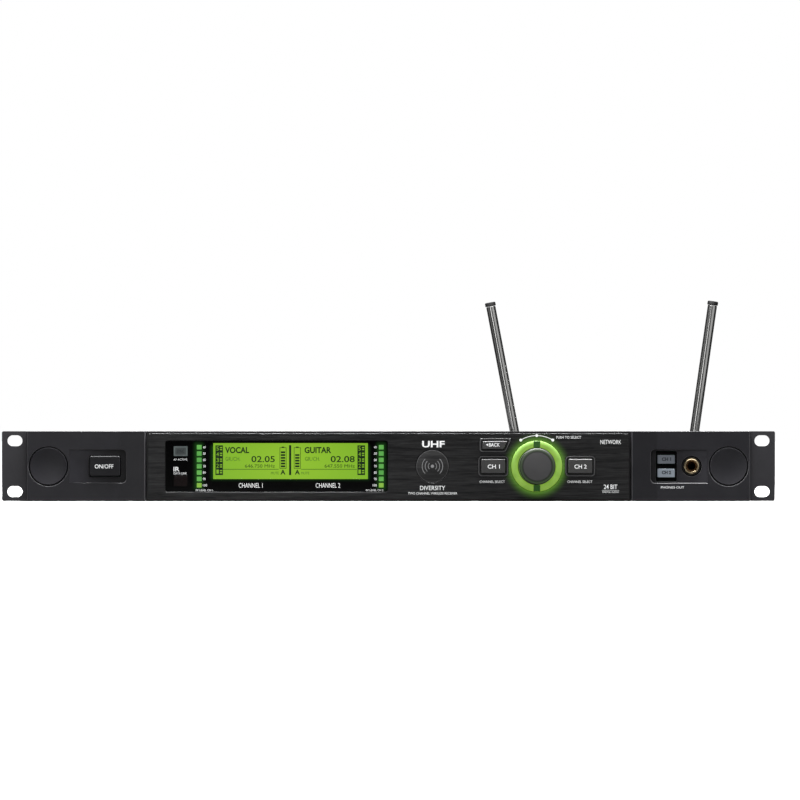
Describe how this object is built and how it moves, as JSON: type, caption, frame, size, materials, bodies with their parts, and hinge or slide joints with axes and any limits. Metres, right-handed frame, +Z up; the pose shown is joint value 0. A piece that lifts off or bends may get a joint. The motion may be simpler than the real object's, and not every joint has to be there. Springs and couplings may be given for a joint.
{
  "type": "rack-mounted wireless microphone receiver",
  "caption": "Slim rack-mounted wireless audio receiver with a lit display, jog knob, keys, headphone jack and folding rod antennas on its back.",
  "frame": {"origin": "centre of the case's underside", "axes": "+X to the right of someone facing the front panel, +Y from the front panel to the back, +Z up"},
  "size_m": [0.4826, 0.2371, 0.1321],
  "materials": {
    "case_steel": "satin black paint",
    "panel_paint": "satin dark blue-grey paint",
    "side_moulding": "fine satin, dark blue-grey",
    "brushed_fascia": "brushed along its length, anodised near black",
    "black_plastic": "satin black",
    "key_grey": "satin dark grey",
    "window_black": "polished black",
    "lcd_green": "backlit yellow-green",
    "lamp_green": "lit green",
    "lamp_grey": "lit blue-grey",
    "ring_green": "lit yellow-green",
    "bright_metal": "bright nickel plating",
    "dark_metal": "black nickel plating",
    "gold": "gold plating",
    "circuit_board": "green solder resist",
    "tinned_steel": "dull tin plating",
    "bare_aluminium": "bare extrusion",
    "ferrite": "yellow tape over a dark core",
    "cable_grey": "grey insulation"
  },
  "bodies": {
    "housing": {"chassis_tray": "case_steel", "top_cover": "case_steel", "rear_panel": "case_steel", "front_plate": "panel_paint", "left_side_moulding": "side_moulding", "right_side_moulding": "side_moulding", "left_port_cap": "side_moulding", "right_port_cap": "side_moulding", "centre_fascia": "brushed_fascia", "emblem_disc": "brushed_fascia", "centre_frame": "black_plastic", "phones_key_frame": "black_plastic", "mains_inlet": "black_plastic", "audio_output_1": "black_plastic", "audio_output_2": "black_plastic", "digital_output": "black_plastic", "display_window": "window_black", "infrared_eye": "window_black", "lcd_module": "lcd_green", "left_level_meter": "lamp_green", "right_level_meter": "lamp_green", "status_lamp": "lamp_grey", "light_ring": "ring_green", "antenna_socket_a": "bright_metal", "antenna_socket_b": "bright_metal", "clock_socket": "bright_metal", "cover_screw_1": "dark_metal", "cover_screw_2": "dark_metal", "cover_screw_3": "dark_metal", "cover_screw_4": "dark_metal", "encoder_body": "dark_metal", "jack_nut": "dark_metal", "headphone_jack": "gold", "front_board": "circuit_board", "main_board": "circuit_board", "supply_board": "circuit_board", "network_ports": "tinned_steel", "radio_module_a": "tinned_steel", "radio_module_b": "tinned_steel", "supply_heat_sink": "bare_aluminium", "supply_transformer": "ferrite", "display_ribbon": "cable_grey"},
    "power_button": {"power_button": "black_plastic"},
    "back_key": {"back_key": "key_grey"},
    "channel_1_key": {"channel_1_key": "key_grey"},
    "channel_2_key": {"channel_2_key": "key_grey"},
    "phones_key_1": {"phones_key_1": "lamp_grey"},
    "phones_key_2": {"phones_key_2": "lamp_grey"},
    "knob_plunger": {"encoder_plunger": "black_plastic"},
    "knob": {"jog_knob": "key_grey", "encoder_shaft": "bright_metal"},
    "antenna_a_base": {"antenna_plug_a": "dark_metal", "antenna_pin_a": "bright_metal"},
    "antenna_a_mast": {"antenna_rod_a": "bright_metal", "antenna_cap_a": "black_plastic"},
    "antenna_b_base": {"antenna_plug_b": "dark_metal", "antenna_pin_b": "bright_metal"},
    "antenna_b_mast": {"antenna_rod_b": "bright_metal", "antenna_cap_b": "black_plastic"}
  },
  "joints": [
    {"name": "power_button_push", "type": "slide", "parent": "housing", "child": "power_button", "axis": [0, 1, 0], "range_m": [0, 0.0012], "stiffness_N_per_m": 400, "springref_m": -0.0012},
    {"name": "back_key_push", "type": "slide", "parent": "housing", "child": "back_key", "axis": [0, 1, 0], "range_m": [0, 0.0006], "stiffness_N_per_m": 400, "springref_m": -0.0006},
    {"name": "channel_1_key_push", "type": "slide", "parent": "housing", "child": "channel_1_key", "axis": [0, 1, 0], "range_m": [0, 0.0006], "stiffness_N_per_m": 400, "springref_m": -0.0006},
    {"name": "channel_2_key_push", "type": "slide", "parent": "housing", "child": "channel_2_key", "axis": [0, 1, 0], "range_m": [0, 0.0006], "stiffness_N_per_m": 400, "springref_m": -0.0006},
    {"name": "phones_key_1_push", "type": "slide", "parent": "housing", "child": "phones_key_1", "axis": [0, 1, 0], "range_m": [0, 0.0006], "stiffness_N_per_m": 400, "springref_m": -0.0006},
    {"name": "phones_key_2_push", "type": "slide", "parent": "housing", "child": "phones_key_2", "axis": [0, 1, 0], "range_m": [0, 0.0006], "stiffness_N_per_m": 400, "springref_m": -0.0006},
    {"name": "knob_push", "type": "slide", "parent": "housing", "child": "knob_plunger", "axis": [0, 1, 0], "range_m": [0, 0.0007], "stiffness_N_per_m": 500, "springref_m": -0.0007},
    {"name": "knob_turn", "type": "hinge", "parent": "knob_plunger", "child": "knob", "pos_m": [0.0924, -0.103, 0.0218], "axis": [0, 1, 0], "continuous": true},
    {"name": "antenna_a_swivel", "type": "hinge", "parent": "housing", "child": "antenna_a_base", "pos_m": [0.0889, 0.095, 0.0218], "axis": [0, 1, 0], "continuous": true},
    {"name": "antenna_a_fold", "type": "hinge", "parent": "antenna_a_base", "child": "antenna_a_mast", "pos_m": [0.0889, 0.1171, 0.0218], "axis": [-0.9825, 0, -0.1865], "range_deg": [0, 90]},
    {"name": "antenna_b_swivel", "type": "hinge", "parent": "housing", "child": "antenna_b_base", "pos_m": [0.2038, 0.095, 0.0218], "axis": [0, 1, 0], "continuous": true},
    {"name": "antenna_b_fold", "type": "hinge", "parent": "antenna_b_base", "child": "antenna_b_mast", "pos_m": [0.2038, 0.1171, 0.0218], "axis": [-0.99, 0, 0.1409], "range_deg": [0, 90]}
  ]
}
